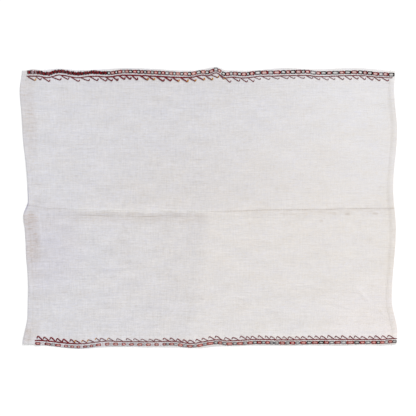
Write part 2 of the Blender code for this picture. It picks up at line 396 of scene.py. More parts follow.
class Wire:
    """A value that runs between the nodes of a tree. Arithmetic on it adds Math nodes."""

    def __init__(self, tree, socket=None):
        self.tree = tree
        self.socket = socket

    def node(self, kind, settings=None, inputs=None, output=0):
        """A new node in the same tree: its settings first, then its inputs' values or links."""
        node = self.tree.nodes.new(kind)
        for name, value in (settings or {}).items():
            setattr(node, name, value)
        for name, value in (inputs or {}).items():
            if isinstance(value, Wire):
                self.tree.links.new(value.socket, node.inputs[name])
            else:
                node.inputs[name].default_value = value
        return Wire(self.tree, node.outputs[output] if len(node.outputs) else None)

    def out(self, name):
        """Another output of the node that this one comes from."""
        return Wire(self.tree, self.socket.node.outputs[name])

    def math(self, operation, *values):
        """Maths on any values, after the node's own list of operations."""
        return self.node("ShaderNodeMath", {"operation": operation}, dict(enumerate(values)))

    def vector(self, operation, other):
        """Vector maths with another vector, or a scaling by a number."""
        inputs = {0: self, "Scale" if operation == "SCALE" else 1: other}
        return self.node("ShaderNodeVectorMath", {"operation": operation}, inputs)

    def split(self, part):
        """One part of a vector. The others are that one's further outputs."""
        return self.node("ShaderNodeSeparateXYZ", inputs={0: self}, output=part)

    __add__, __radd__ = operator("ADD"), operator("ADD", True)
    __sub__, __rsub__ = operator("SUBTRACT"), operator("SUBTRACT", True)
    __mul__, __rmul__ = operator("MULTIPLY"), operator("MULTIPLY", True)
    __truediv__, __rtruediv__ = operator("DIVIDE"), operator("DIVIDE", True)

    def step(self, start, end):
        """0 up to start and 1 from end on, with an even S between them. Start may be above end."""
        if start > end:
            return 1.0 - self.step(end, start)
        inputs = {"Value": self, "From Min": start, "From Max": end}
        return self.node("ShaderNodeMapRange", {"interpolation_type": "SMOOTHSTEP"}, inputs)

    def span(self, start, full, fade, end):
        """1 from full to fade, and 0 before the start and past the end."""
        return self.step(start, full) * self.step(end, fade)

    def band(self, middle, full, gone):
        """1 as near to the middle as full, and 0 as far from it as gone."""
        return self.math("ABSOLUTE", self - middle).step(gone, full)

    def mix(self, first, second, blend="MIX", share=None):
        """The first colour where this is 0, and the second where it is 1."""
        settings = {"data_type": "RGBA", "blend_type": blend}
        inputs = {MIX_SHARE: self if share is None else share, MIX_FIRST: first, MIX_SECOND: second}
        return self.node("ShaderNodeMix", settings, inputs, MIX_RESULT)

    def tinted(self, tint, share=1.0):
        """This colour, multiplied by a tint as far as the share says."""
        return self.mix(self, tint, "MULTIPLY", share)


def colour(red, green, blue):
    """The light values that a shader takes for a colour of a picture, given as 0 to 255."""
    parts = [part / 255.0 for part in (red, green, blue)]
    light = [part / 12.92 if part <= 0.04045 else ((part + 0.055) / 1.055) ** 2.4 for part in parts]
    return (*light, 1.0)


COOL_CLOTH = colour(211, 210, 214)
LIGHT_CLOTH = colour(225, 223, 224)
WARM_TINT = (1.0, 0.977, 0.938, 1.0)
BROWN_TINT = (0.985, 0.958, 0.91, 1.0)
BLUE_TINT = (0.985, 0.99, 1.02, 1.0)
SLUB_TINT = (0.93, 0.915, 0.90, 1.0)
STAIN = colour(162, 134, 104)
# Soil brown, which also paints the shade in the seam's fold and in the marks below the seam
SOIL_AND_SHADE = colour(160, 136, 104)
# Painted shade below the low ridge at the left end of the seam
RIDGE_SHADE_TINT = (0.955, 0.945, 0.965, 1.0)
# Painted light at the lower right corner
LIT_CORNER_TINT = (1.045, 1.03, 1.035, 1.0)
# A painted highlight along the crest of the raised seam
CREST_HIGHLIGHT = (1.09, 1.10, 1.09, 1.0)
SELVEDGE_TINT = (1.04, 1.04, 1.04, 1.0)
BORDER_TINT = (1.045, 1.045, 1.04, 1.0)
# Painted shadow along the rim of the left end
RIM_SHADOW_TINT = (0.66, 0.65, 0.74, 1.0)
MATT = 0.95
DULL = 0.2
WARP_PITCH = 2.3 * MM
WEFT_PITCH = 2.6 * MM
WEAVE_DEPTH = 0.6 * MM
WEAVE_WANDER = 3.0

# How often each unevenness comes along X, Y and Z, for each metre
DRIFT_PATCHES = (3.0, 3.0, 3.0)
LONG_YARNS = (9.0, 150.0, 9.0)
SHORT_YARNS = (46.0, 190.0, 34.0)
CROSS_YARNS = (150.0, 16.0, 9.0)
SPUN_BATCHES = (8.0, 17.0, 23.0)
CAST_PATCHES = (6.0, 15.0, 57.0)
STAIN_SPOTS = (24.0, 95.0, 30.0)
SOIL_AND_SHADE_SPOTS = (14.0, 150.0, 16.0)

# The yarns that differ in colour: how often they come, and from where to where the noise shows them
Tint = namedtuple("Tint", "colour often start full share")
YARN_TINTS = table(
    (BROWN_TINT, (60.0, 150.0, 31.0), 0.52, 0.72, 1.0), (BLUE_TINT, (34.0, 80.0, 51.0), 0.5, 0.7, 1.0),
    (BROWN_TINT, CAST_PATCHES, 0.45, 0.7, 0.35), (BLUE_TINT, CAST_PATCHES, 0.5, 0.28, 0.5),
    (SLUB_TINT, (13.0, 130.0, 71.0), 0.58, 0.76, 1.0), kind=Tint,
)

# Marks in the cloth's colour, in metres: spans along an axis, bands beside a line and oval blots
Span = namedtuple("Span", "start full fade end")
Band = namedtuple("Band", "middle full gone")
Blot = namedtuple("Blot", "x y reach_x reach_y strength", defaults=(1.0,))
WARM_MIDDLE = Band(0.0, 0.04, 0.20)
WARM_LENGTH = Span(-0.76, -0.55, -0.35, 0.05)
BROWN_LENGTH = Span(-0.75, -0.45, 0.30, 0.55)
RIDGE_SHADE_PATCH = Blot(-0.80, -0.20, 0.22, 0.30)
LIT_CORNER_PATCH = Blot(0.95, -0.66, 0.50, 0.40)
STAINED_HEM = Span(-0.30, -0.24, -0.06, 0.0)
HEM_STAINS = table(
    (-0.9, -0.61, 0.3, 0.06, 0.5), (-0.9, 0.48, 0.3, 0.25, 0.6), (-0.9, -0.055, 0.07, 0.04, 0.8),
    (-0.905, -0.64, 0.03, 0.055, 1.1), kind=Blot,
)
HEM_LINE = Band(HEM_SEAM, 0.002, 0.014)
SHADED_RIM = Blot(-0.92, 0.045, 0.20, 0.085, 0.7)
RAISED_SEAM = Span(-0.74, -0.66, -0.04, 0.03)
SEAM_CREST = Band(0.0, 0.004, 0.011)
FOLD_SOIL_AND_SHADE = Band(-0.032, 0.014, 0.040)
FOOT_SOIL_AND_SHADE = Band(-0.024, 0.001, 0.005)
DARKEST_SOIL_AND_SHADE = (Band(-0.55, 0.03, 0.09), Band(-0.28, 0.02, 0.07))
SEAM_SOIL_AND_SHADE = Band(-0.002, 0.0, 0.010)
BESIDE_SEAM = Band(-0.014, 0.010, 0.024)
SOIL_AND_SHADE_MARKS = table(
    (0.628, -0.028, 0.022, 0.011), (0.694, -0.03, 0.02, 0.011), (0.834, -0.028, 0.022, 0.011),
    (0.563, -0.065, 0.014, 0.011), kind=Blot,
)


def new_material(name):
    """A material, its first wire, and the place of each point."""
    material = bpy.data.materials.new(name)
    material.use_nodes = True
    start = Wire(material.node_tree)
    return material, start, start.node("ShaderNodeTexCoord", output="Object")


def finish(material, base, height, depth, sheen):
    """Feeds a material's shader with its colour and its bump, and sets what is the same all over."""
    shader = material.node_tree.nodes["Principled BSDF"]
    bump = base.node("ShaderNodeBump", inputs={"Height": height, "Distance": depth})
    material.node_tree.links.new(base.socket, shader.inputs["Base Color"])
    material.node_tree.links.new(bump.socket, shader.inputs["Normal"])
    fill(shader, {"Roughness": MATT, "Specular IOR Level": DULL, "Sheen Weight": sheen})
    return material


def noise(place, often, detail=3.0):
    """Blender's noise at each point, with as many waves for each metre along X, Y and Z as asked."""
    inputs = {"Vector": place.vector("MULTIPLY", often), "Scale": 1.0, "Detail": detail, "Roughness": 0.6}
    return place.node("ShaderNodeTexNoise", inputs=inputs, output="Fac")


def cloth_material():
    """Undyed plain weave: cooler and greyer at the left, lighter and warmer at the right, slubbed."""
    material, start, place = new_material("undyed_weave")
    x = place.split("X")
    y = x.out("Y")

    def read(name):
        return start.node("ShaderNodeAttribute", {"attribute_name": name}, output="Fac")

    def inside(blot):
        """The blot's strength in its middle, and 0 at its rim."""
        across, up = (x - blot.x) / blot.reach_x, (y - blot.y) / blot.reach_y
        return blot.strength * (across * across + up * up).step(1.0, 0.0)

    # The cloth's colour, with places in metres: cool grey at the left and lighter and warmer to the right
    # and lower right, partly the wool's tone and partly painted light
    drift = (noise(place, DRIFT_PATCHES, 2.0) - 0.5) * 0.30
    east = x + drift
    upper = y.step(-0.06, 0.10)
    upper_light = (east - 0.15 * (y - 0.15)).step(-0.35, 0.98)
    slanted = x - 0.165 * (y + 0.10) + 0.4 * drift
    lower_light = 0.42 * slanted.step(-0.05, 0.05) + 0.18 * east.step(-0.75, -0.1)
    lower_light = lower_light + 0.40 * east.step(0.0, 1.05)
    light = upper * upper_light + (1.0 - upper) * lower_light
    warmth = y.step(0.62, 0.02) * east.step(-0.80, 0.0) * (1.0 - 0.25 * y.step(-0.2, -0.65))
    warmth = warmth * (1.0 - 0.6 * x.step(0.55, 0.90) * y.step(0.0, 0.15))
    warmth = warmth + 0.22 * y.band(*WARM_MIDDLE) * x.span(*WARM_LENGTH)
    base = light.mix(COOL_CLOTH, LIGHT_CLOTH).tinted(WARM_TINT, warmth)
    base = base.tinted(BROWN_TINT, 0.25 * y.step(0.46, 0.56) * x.span(*BROWN_LENGTH))
    # Painted shade below the seam's left end, and painted light at the lower right corner
    base = base.tinted(RIDGE_SHADE_TINT, inside(RIDGE_SHADE_PATCH)).tinted(LIT_CORNER_TINT, inside(LIT_CORNER_PATCH))

    # Thick and thin yarns, which also differ a little in colour, and the batches that they were spun in
    long_yarns, short_yarns = noise(place, LONG_YARNS), noise(place, SHORT_YARNS)
    cross_yarns = noise(place, CROSS_YARNS)
    streaks = 0.34 * long_yarns + 0.34 * short_yarns + 0.32 * cross_yarns
    for tint in YARN_TINTS:
        shown = noise(place, tint.often, 2.0).step(tint.start, tint.full)
        base = base.tinted(tint.colour, tint.share * shown)
    contrast = 0.86 - 0.42 * light - 0.10 * upper
    base = base.tinted(1.0 + contrast * ((streaks - 0.5) + 0.24 * (noise(place, SPUN_BATCHES) - 0.5)))

    # Brown stains at the hems, the light selvedges and warmer right hem, a painted highlight on the crest
    # of the raised seam, and painted shadow along the rim of the left hem
    left, right = read("from_left"), read("from_right")
    beyond, from_edge = read("from_seam"), read("from_long_edge")
    spots = noise(place, STAIN_SPOTS, 4.0)
    bad = y.span(*STAINED_HEM)
    for blot in HEM_STAINS:
        bad = bad + inside(blot)
    worn_left = left.step(0.085, 0.050) * (0.6 + 0.4 * left.step(0.004, 0.030))
    stain = worn_left * (bad + 0.2) * (0.11 + 0.24 * spots.step(0.46, 0.66))
    base = start.math("MAXIMUM", stain, right.band(*HEM_LINE) * 0.03 * spots).mix(base, STAIN)
    raised = x.span(*RAISED_SEAM)
    for tint, share in (
        (WARM_TINT, 0.4 * right.step(0.070, 0.020)),
        # A painted highlight along the crest of the raised seam
        (CREST_HIGHLIGHT, raised * beyond.band(*SEAM_CREST)),
        (SELVEDGE_TINT, from_edge.step(0.012, 0.004)),
        (BORDER_TINT, from_edge.step(0.062, 0.050) * x.step(-0.90, -0.86)),
        # Painted shadow along the rim of the left end, darkest where the cloth curls up at the seam
        (RIM_SHADOW_TINT, left.step(0.007, 0.001) * (0.16 + inside(SHADED_RIM))),
    ):
        base = base.tinted(tint, share)

    # Brown soil and painted shade together: in the fold and along the foot of the raised seam, along the
    # flat seam, and in a few marks at the right
    marks = noise(place, SOIL_AND_SHADE_SPOTS).step(0.44, 0.60)
    worst = x.band(*DARKEST_SOIL_AND_SHADE[0]) + x.band(*DARKEST_SOIL_AND_SHADE[1])
    soil_and_shade = raised * beyond.band(*FOLD_SOIL_AND_SHADE) * (0.05 + 0.11 * marks)
    soil_and_shade = soil_and_shade + raised * (beyond + 0.010 * long_yarns).band(*FOOT_SOIL_AND_SHADE) * 0.10 * worst
    soil_and_shade = soil_and_shade + beyond.band(*SEAM_SOIL_AND_SHADE) * x.step(0.06, 0.12) * (0.03 + 0.06 * marks)
    soil_and_shade = soil_and_shade + beyond.band(*BESIDE_SEAM) * x.step(0.10, 0.40) * 0.10 * marks
    for blot in SOIL_AND_SHADE_MARKS:
        soil_and_shade = start.math("MAXIMUM", soil_and_shade, inside(blot) * (0.10 + 0.16 * marks))
    base = start.math("MINIMUM", soil_and_shade, 1.0).mix(base, SOIL_AND_SHADE)

    warp = start.math("SINE", y * (math.tau / WARP_PITCH) + WEAVE_WANDER * long_yarns)
    weft = start.math("SINE", x * (math.tau / WEFT_PITCH) + WEAVE_WANDER * cross_yarns)
    height = 0.5 + 0.3 * warp * weft + 0.5 * (streaks - 0.5)
    return finish(material, base, height, WEAVE_DEPTH, 0.1)


cloth = cloth_material()
strips = []
for name, side in (("far_strip", 1), ("near_strip", -1)):
    piece = add(name + "_cloth", strip_mesh(name + "_cloth", side))
    piece.data.materials.append(cloth)
    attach(piece, "root")
    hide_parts(name)
    strips.append(piece)

# The chains along the long edges
# Each long edge is bound with a chain of open boxes in thick wool, worked in turn in madder red and
# in a charcoal green. Every box is one loop of plied yarn around a core of its paler, rubbed wool.
YARN_SIDES = 6
PLY_DEPTH = 0.80
YARN_FLATNESS = 0.70
YARN_LIFT = 0.9 * MM
TWIST = 9 * MM
CURL_BLEND = 0.45
TIP_SHARE = 0.08
WOOL_FIBRES = (420.0, 420.0, 300.0)
FIBRE_DEPTH = 0.8 * MM
RAY_HEIGHT = 0.1
WAVER_OFTEN = 70.0
WAVER_REACH = 4 * MM
ALL_ALIKE = 1000000
LINE_STEP = 4 * MM
SEED_STEP = 100
MADDER = colour(118, 4, 18)
MADDER_WORN = colour(186, 122, 110)
MADDER_CORE = colour(236, 172, 160)
NEAR_MADDER_CORE = colour(222, 146, 136)
GREEN = colour(24, 24, 24)
GREEN_WORN = colour(206, 199, 206)
GREEN_CORE = colour(206, 201, 196)
FAR_GREEN_CORE = colour(222, 216, 212)

# A strand of a stitch: its line and radius in millimetres, whether it is a closed loop, how much of it
# is a hook's curl or a box's rubbed core, which have dyes of their own, and how thick its start is
Strand = namedtuple("Strand", "line radius closed curl core start", defaults=(False, 0.0, 0.0, 1.0))


def bezier(start, start_handle, end_handle, end, count):
    """Points along one curve, in millimetres."""
    share = np.linspace(0.0, 1.0, count)[:, None]
    corners = [np.array(corner, dtype=float) for corner in (start, start_handle, end_handle, end)]
    weights = ((1 - share) ** 3, 3 * share * (1 - share) ** 2, 3 * share ** 2 * (1 - share), share ** 3)
    return sum(weight * corner for weight, corner in zip(weights, corners))


def stitch_mesh(name, strands):
    """One stitch of twisted yarn, as the object that a row repeats."""
    points, polygons, curls, cores = [], [], [], []
    sides = np.arange(YARN_SIDES)
    for strand in strands:
        line = np.array(strand.line) * MM
        if strand.closed:
            tangent = np.roll(line, -1, axis=0) - np.roll(line, 1, axis=0)
            length = np.linalg.norm(line - np.roll(line, 1, axis=0), axis=1)
            along = np.cumsum(length) - length[0]
            phase = along / length.sum() * round(length.sum() / TWIST) * math.tau
            taper = np.ones(len(line))
        else:
            tangent = np.gradient(line, axis=0)
            length = np.linalg.norm(np.diff(line, axis=0), axis=1)
            along = np.concatenate([[0.0], np.cumsum(length)])
            phase = along / TWIST * math.tau
            from_end = np.minimum(along, along[-1] - along) / (strand.radius * MM)
            taper = np.sqrt(1.0 - (1.0 - np.clip(from_end + TIP_SHARE, 0, 1)) ** 2)
            taper = taper * np.linspace(strand.start, 1.0, len(line))
        tangent /= np.linalg.norm(tangent, axis=1)[:, None]
        left = np.cross((0.0, 0.0, 1.0), tangent)
        left /= np.linalg.norm(left, axis=1)[:, None]
        up = np.cross(tangent, left)
        turn = math.tau * sides / YARN_SIDES + phase[:, None]
        reach = strand.radius * MM * taper[:, None] * np.where(sides % 2 == 0, 1.0, PLY_DEPTH)
        across = left[:, None] * (np.cos(turn) * reach)[..., None]
        rise = up[:, None] * (np.sin(turn) * reach)[..., None] * YARN_FLATNESS
        ring_points = line[:, None] + across + rise + np.array((0.0, 0.0, YARN_LIFT))
        rings = len(points) + np.arange(len(line) * YARN_SIDES).reshape(-1, YARN_SIDES)
        points += ring_points.reshape(-1, 3).tolist()
        ring, after = (rings, np.roll(rings, -1, axis=0)) if strand.closed else (rings[:-1], rings[1:])
        corners = [ring, np.roll(ring, -1, axis=1), np.roll(after, -1, axis=1), after]
        polygons += np.stack(corners, axis=-1).reshape(-1, 4).tolist()
        if not strand.closed:
            polygons += [rings[0][::-1].tolist(), rings[-1].tolist()]
        from_start = np.repeat(np.arange(len(line)) / len(line), YARN_SIDES)
        curls += (strand.curl * smooth(from_start / CURL_BLEND)).tolist()
        cores += [strand.core] * rings.size
    mesh = bpy.data.meshes.new(name)
    mesh.from_pydata(points, [], polygons)
    mesh.shade_smooth()
    mesh.attributes.new("curl", "FLOAT", "POINT").data.foreach_set("value", curls)
    mesh.attributes.new("core", "FLOAT", "POINT").data.foreach_set("value", cores)
    return bpy.data.objects.new(name, mesh)


def worked_line(name, x, y, traits):
    """The line that a row follows, as an object of edges. Traits are three tables of the row's looks."""
    mesh = bpy.data.meshes.new(name)
    edges = [(i, i + 1) for i in range(len(x) - 1)]
    mesh.from_pydata(np.stack([x, y, np.zeros_like(x)], axis=1).tolist(), edges, [])
    along = x if abs(x[-1] - x[0]) > abs(y[-1] - y[0]) else y
    values = np.stack([level_at(trait, along) for trait in traits], axis=1)
    mesh.attributes.new("traits", "FLOAT_VECTOR", "POINT").data.foreach_set("vector", values.ravel())
    return add(name, mesh)


# The sockets of a row's tree go by the kinds of its settings, and each chance of a stitch has a number
SOCKETS = {
    bpy.types.Object: "Object", bpy.types.Material: "Material", float: "Float", int: "Int", tuple: "Color",
}
CHANCES = {"pitch": 1, "turn": 2, "size": 3, "first wear": 4, "second wear": 5, "dye": 6, "place": 7}


def row_tree(settings):
    """The tree that works a row of stitches along a line, and lays them on the cloth."""
    tree = bpy.data.node_groups.new("row_of_stitches", "GeometryNodeTree")
    tree.interface.new_socket("Line", in_out="INPUT", socket_type="NodeSocketGeometry")
    for name, value in settings.items():
        kind = next(kind for sort, kind in SOCKETS.items() if isinstance(value, sort))
        tree.interface.new_socket(name, in_out="INPUT", socket_type="NodeSocket" + kind)
    tree.interface.new_socket("Row", in_out="OUTPUT", socket_type="NodeSocketGeometry")
    line = Wire(tree).node("NodeGroupInput", output="Line")

    def uneven(trait, who, amount):
        """A random number about 0 for each stitch, up to half of the amount either way."""
        seed = line.out("Seed") + CHANCES[trait]
        inputs = {CHANCE_LEAST: -0.5, CHANCE_MOST: 0.5, "ID": who, "Seed": seed}
        chance = line.node("FunctionNodeRandomValue", inputs=inputs, output=CHANCE_RESULT)
        return chance * line.out(amount)

    def shape_of(name):
        return line.node("GeometryNodeObjectInfo", inputs={"Object": line.out(name)}, output="Geometry")

    def read(name, kind="FLOAT"):
        return line.node("GeometryNodeInputNamedAttribute", {"data_type": kind}, {"Name": name})

    def ground(place):
        """The cloth's face under a place, and whether there is any."""
        above = place.vector("ADD", (0.0, 0.0, RAY_HEIGHT))
        inputs = {"Target Geometry": cloths, "Source Position": above, "Ray Length": 2 * RAY_HEIGHT}
        return line.node("GeometryNodeRaycast", inputs=inputs, output="Hit Position")

    cloths = line.node("GeometryNodeJoinGeometry", inputs={0: shape_of("Far strip")})
    tree.links.new(shape_of("Near strip").socket, cloths.socket.node.inputs[0])

    # Where each stitch starts and ends
    curve = line.node("GeometryNodeMeshToCurve", inputs={"Mesh": line})
    length = line.node("GeometryNodeCurveLength", inputs={"Curve": curve})
    count = line.math("ROUND", length / line.out("Pitch"))
    index = line.node("GeometryNodeInputIndex")

    def place_of(number):
        number = number - line.out("Short first") * line.math("MODULO", number, 2.0)
        return length * (number + uneven("pitch", number, "Uneven pitch")) / count

    start, end = place_of(index), place_of(index + 1.0)
    sampling = {"data_type": "FLOAT_VECTOR", "mode": "LENGTH", "use_all_curves": True}
    inputs = {"Curves": curve, "Length": (start + end) * 0.5, "Value": read("traits", "FLOAT_VECTOR")}
    place = line.node("GeometryNodeSampleCurve", sampling, inputs, "Position")
    sideways = place.out("Tangent").vector("CROSS_PRODUCT", (0.0, 0.0, 1.0))
    sideways = sideways.vector("SCALE", uneven("place", index, "Uneven place"))
    spot = place.vector("ADD", sideways)
    points = line.node("GeometryNodePoints", inputs={"Count": count, "Position": spot})
    tangent = place.out("Tangent").split("X")
    back = line.math("LESS_THAN", tangent, 0.0)
    forward = 1.0 - 2.0 * back
    slant = line.math("ARCTAN2", tangent.out("Y") * forward, tangent * forward)
    heading = back * math.pi + slant * line.out("Follow line") + uneven("turn", index, "Uneven turn")
    euler = line.node("ShaderNodeCombineXYZ", inputs={"Z": heading})
    turn = line.node("FunctionNodeEulerToRotation", inputs={"Euler": euler})
    length_share = (end - start) / line.out("Stitch pitch")
    depth_share = line.out("Depth") * (1.0 + uneven("size", index, "Uneven size"))
    scale = line.node("ShaderNodeCombineXYZ", inputs={"X": length_share, "Y": depth_share, "Z": 1.0})
    inputs = {"Points": points, "Instance": shape_of("Stitch"), "Rotation": turn, "Scale": scale}
    row = line.node("GeometryNodeInstanceOnPoints", inputs=inputs)

    # The dye of each stitch
    trait = place.out("Value").split("X")

    def worn(level, trait_name):
        return line.node("ShaderNodeClamp", inputs={"Value": level + uneven(trait_name, index, "Wear")})

    first = worn(trait, "first wear").mix(line.out("First dye"), line.out("First worn"))
    second = worn(trait.out("Y"), "second wear").mix(line.out("Second dye"), line.out("Second worn"))
    number = line.math("MODULO", index, line.out("Repeat"))
    last = line.math("COMPARE", number, line.out("Repeat") - 1.0, 0.5)
    tint = 1.0 + uneven("dye", index, "Uneven dye")
    dye = last.mix(first, second).vector("SCALE", tint)
    core = last.mix(line.out("First core"), line.out("Second core")).vector("SCALE", tint)

    def next_row(kind, settings=None, **inputs):
        """The row after one more node."""
        return line.node("GeometryNode" + kind, settings, {"Geometry": row, **inputs})

    def store(name, value, kind="FLOAT", domain="INSTANCE"):
        settings = {"data_type": kind, "domain": domain}
        return next_row("StoreNamedAttribute", settings, Name=name, Value=value)

    row = store("dye", dye, "FLOAT_COLOR")
    row = store("core dye", core, "FLOAT_COLOR")
    row = store("gold", trait.out("Y"))
    row = store("swell", trait.out("Z") * MM)
    row = store("ground", ground(place).split("Z"))
    row = next_row("RealizeInstances")

    # Thick and thin places, and the fall of the yarn on the cloth
    swell = line.node("GeometryNodeInputNormal").vector("SCALE", read("swell"))
    row = next_row("SetPosition", Offset=swell)
    here = line.node("GeometryNodeInputPosition")
    inputs = {"Vector": here, "Scale": WAVER_OFTEN}
    waver = line.node("ShaderNodeTexNoise", inputs=inputs, output="Color")
    waver = waver.vector("SUBTRACT", (0.5, 0.5, 0.5)).vector("MULTIPLY", (WAVER_REACH, WAVER_REACH, 0.0))
    row = next_row("SetPosition", Offset=waver)
    hit = ground(here)
    inputs = {"Switch": hit.out("Is Hit"), "False": read("ground"), "True": hit.split("Z")}
    height = line.node("GeometryNodeSwitch", {"input_type": "FLOAT"}, inputs)
    x = here.split("X")
    above_floor = line.math("MAXIMUM", x.out("Z") + height, 0.0)
    laid = line.node("ShaderNodeCombineXYZ", inputs={"X": x, "Y": x.out("Y"), "Z": above_floor})
    row = next_row("SetPosition", Position=laid)
    dye = read("core").mix(read("dye", "FLOAT_COLOR"), read("core dye", "FLOAT_COLOR"))
    dye = (read("curl") * read("gold")).mix(dye, line.out("Curl dye"))
    row = store("dye", dye, "FLOAT_COLOR", "POINT")
    row = next_row("SetMaterial", Material=line.out("Material"))
    out = tree.nodes.new("NodeGroupOutput")
    tree.links.new(row.socket, out.inputs[0])
    return tree


# A stretch of a row, in millimetres: its two ends, the pitch of its stitches and how deep they are
# beside the stitch's own depth
Stretch = namedtuple("Stretch", "start end pitch depth", defaults=(1.0,))


def work_row(name, stretches, line_of, traits, settings):
    """Works the stretches of one row in turn, and keeps them as one plain piece."""
    row = bmesh.new()
    for number, stretch in enumerate(table(*stretches, kind=Stretch)):
        start, end = stretch.start * MM, stretch.end * MM
        places = np.linspace(start, end, round(abs(end - start) / LINE_STEP))
        line = worked_line(name, *line_of(places), traits)
        modifier = line.modifiers.new("row", "NODES")
        modifier.node_group = row_of_stitches
        values = {**settings, "Pitch": stretch.pitch * MM, "Depth": stretch.depth}
        values["Seed"] += SEED_STEP * number
        for item in row_of_stitches.interface.items_tree:
            if item.name in values:
                modifier[item.identifier] = values[item.name]
        depsgraph = bpy.context.evaluated_depsgraph_get()
        mesh = bpy.data.meshes.new_from_object(line.evaluated_get(depsgraph), depsgraph=depsgraph)
        line.modifiers.remove(modifier)
        bpy.data.objects.remove(line)
        row.from_mesh(mesh)
        bpy.data.meshes.remove(mesh)
    # The tree leaves an empty slot before the wool's, which the piece does without
    for face in row.faces:
        face.material_index = 0
    mesh = bpy.data.meshes.new(name)
    row.to_mesh(mesh)
    row.free()
    mesh.materials.append(wool)
    mesh.shade_smooth()
    piece = add(name, mesh)
    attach(piece, "root")
    return piece


def wool_material():
    """Dyed wool: each stitch in its own dye, with darker and paler fibres."""
    material, start, place = new_material("dyed_wool")
    fibres = noise(place, WOOL_FIBRES)
    dye = start.node("ShaderNodeAttribute", {"attribute_name": "dye"}, output="Color")
    return finish(material, dye.tinted(1.0 + 0.7 * (fibres - 0.5)), fibres, FIBRE_DEPTH, 0.05)


def plain_stitch(name, count, radius, *corners):
    """A stitch of one strand, which bends along a single curve."""
    return stitch_mesh(name, [Strand(bezier(*corners, count), radius)])


def rounded_box(half_length, half_height, power, tip, count):
    """A box with round corners, in millimetres. It leans up by the tip towards its last end."""
    turn = np.linspace(0.0, math.tau, count, endpoint=False)
    x = half_length * np.sign(np.cos(turn)) * np.abs(np.cos(turn)) ** (2 / power)
    y = half_height * np.sign(np.sin(turn)) * np.abs(np.sin(turn)) ** (2 / power)
    return np.stack([x, y, tip * x / half_length], axis=1)


FAR_CHAIN = table(
    (-905, 15.5), (-852, 16), (-807, 23.5), (-747, 10), (-652, 23.5), (-577, 16), (-502, 19),
    (-422, 10.5), (-92, 23), (-27, 12.5), (-2, 15), (37, 2), (87, 25), (117, 21), (172, 25), (267, 16),
    (482, 12), (547, 18.5), (747, 14.5), (870, 24.5), (922, 27.5),
)
NEAR_CHAIN = table(
    (-862, 16.5), (-647, -1), (-492, 13.5), (-292, 10.5), (-187, 13.5), (-87, 2.5), (48, 20.5),
    (98, 14.5), (268, 21.5), (363, 18.5), (608, 21.5), (858, 21.5), (930, 27),
)
FAR_RED_WEAR = table((-930, 0.08), (-210, 0.12), (-160, 0.8), (-30, 0.5), (20, 0), (930, 0.04))
FAR_GREEN_WEAR = table((-180, 0.04), (0, 0), (930, 0.1))
NEAR_RED_WEAR = table(
    (-930, 0), (-560, 0.05), (-480, 0.35), (-200, 0.35), (100, 0.4), (300, 0.1), (930, 0.2),
)
NEAR_GREEN_WEAR = table(
    (-930, 0.66), (-560, 0.7), (-480, 1), (-250, 1.05), (-200, 0.3), (100, 0.4), (300, 0.2), (930, 0.15),
)
FAR_CHAIN_SWELL = table((-230, 0.3), (-160, 0))
NEAR_CHAIN_SWELL = table((-930, 0.3), (-500, 0.2), (-250, 0.1), (0, 0.5))
NOTHING = table((-930, 0), (930, 0))
FAR_LINE_GAP = table(
    (-150, 18.4), (-60, 16.6), (40, 16.6), (150, 18.4), (560, 18), (700, 16.2), (930, 15.8),
)
NEAR_LINE_GAP = table(
    (-930, 15.4), (-520, 15.6), (-440, 13.6), (0, 14.4), (200, 15.4), (620, 15.2), (760, 14.8),
)

wool = wool_material()
box = stitch_mesh("box_stitch", [
    Strand(rounded_box(8.8, 6.7, 4.4, 0.7, 36), 2.85, closed=True),
    Strand(bezier((-7, 0.5, -1.1), (-2, -0.6, -0.6), (2, 0.6, -0.6), (7, -0.5, -1.1), 7), 2.4, core=1.0),
])
chain_settings = {
    "Stitch": box, "Material": wool, "Far strip": strips[0], "Near strip": strips[1], "Seed": 3,
    "Pitch": 20 * MM, "Depth": 1.0, "Stitch pitch": 20 * MM, "Short first": 0.0, "Follow line": 1.0,
    "Uneven pitch": 0.34, "Uneven turn": 0.10, "Uneven place": 0.0, "Uneven size": 0.12, "Uneven dye": 0.4,
    "Wear": 0.45, "Repeat": 2, "First dye": GREEN, "First worn": GREEN_WORN, "First core": GREEN_CORE,
    "Second dye": MADDER, "Second worn": MADDER_WORN, "Second core": MADDER_CORE, "Curl dye": GREEN,
}
row_of_stitches = row_tree(chain_settings)


def far_line_of(gap):
    """The rule for a line inside the far edge's chain, with a gap between them."""
    return lambda x: (x, HALF_WIDTH - wave_at(FAR_CHAIN, x) - wave_at(gap, x))


def near_line_of(gap):
    """The rule for a line inside the near edge's chain, with a gap between them."""
    return lambda x: (x, wave_at(NEAR_CHAIN, x) + wave_at(gap, x) - HALF_WIDTH)


work_row(
    "far_chain",
    (
        (-506, -106, 18.2), (-106, 65, 21.4), (65, 228, 20.4, 1.05), (228, 362, 33.5, 1.08),
        (362, 560, 24.7, 1.04), (560, 743, 30.5), (743, 924, 25.8, 1.04),
    ),
    far_line_of(NOTHING), (FAR_GREEN_WEAR, FAR_RED_WEAR, FAR_CHAIN_SWELL),
    {**chain_settings, "First core": FAR_GREEN_CORE},
)
work_row(
    "near_chain",
    (
        (939, 813, 21, 0.86), (813, 455, 29.8, 0.88), (455, 355, 25, 0.86), (355, 328, 27, 0.86),
        (328, 242, 21.5, 0.86), (242, -5, 24.7, 0.86), (-5, -152, 24.5, 0.8), (-152, -472, 20, 0.74),
        (-472, -562, 22.5, 0.74), (-562, -718, 15.6, 0.74), (-718, -862, 24, 0.74),
    ),
    near_line_of(NOTHING), (NEAR_GREEN_WEAR, NEAR_RED_WEAR, NEAR_CHAIN_SWELL),
    {**chain_settings, "Second core": NEAR_MADDER_CORE, "Short first": 0.08, "Seed": 5},
)

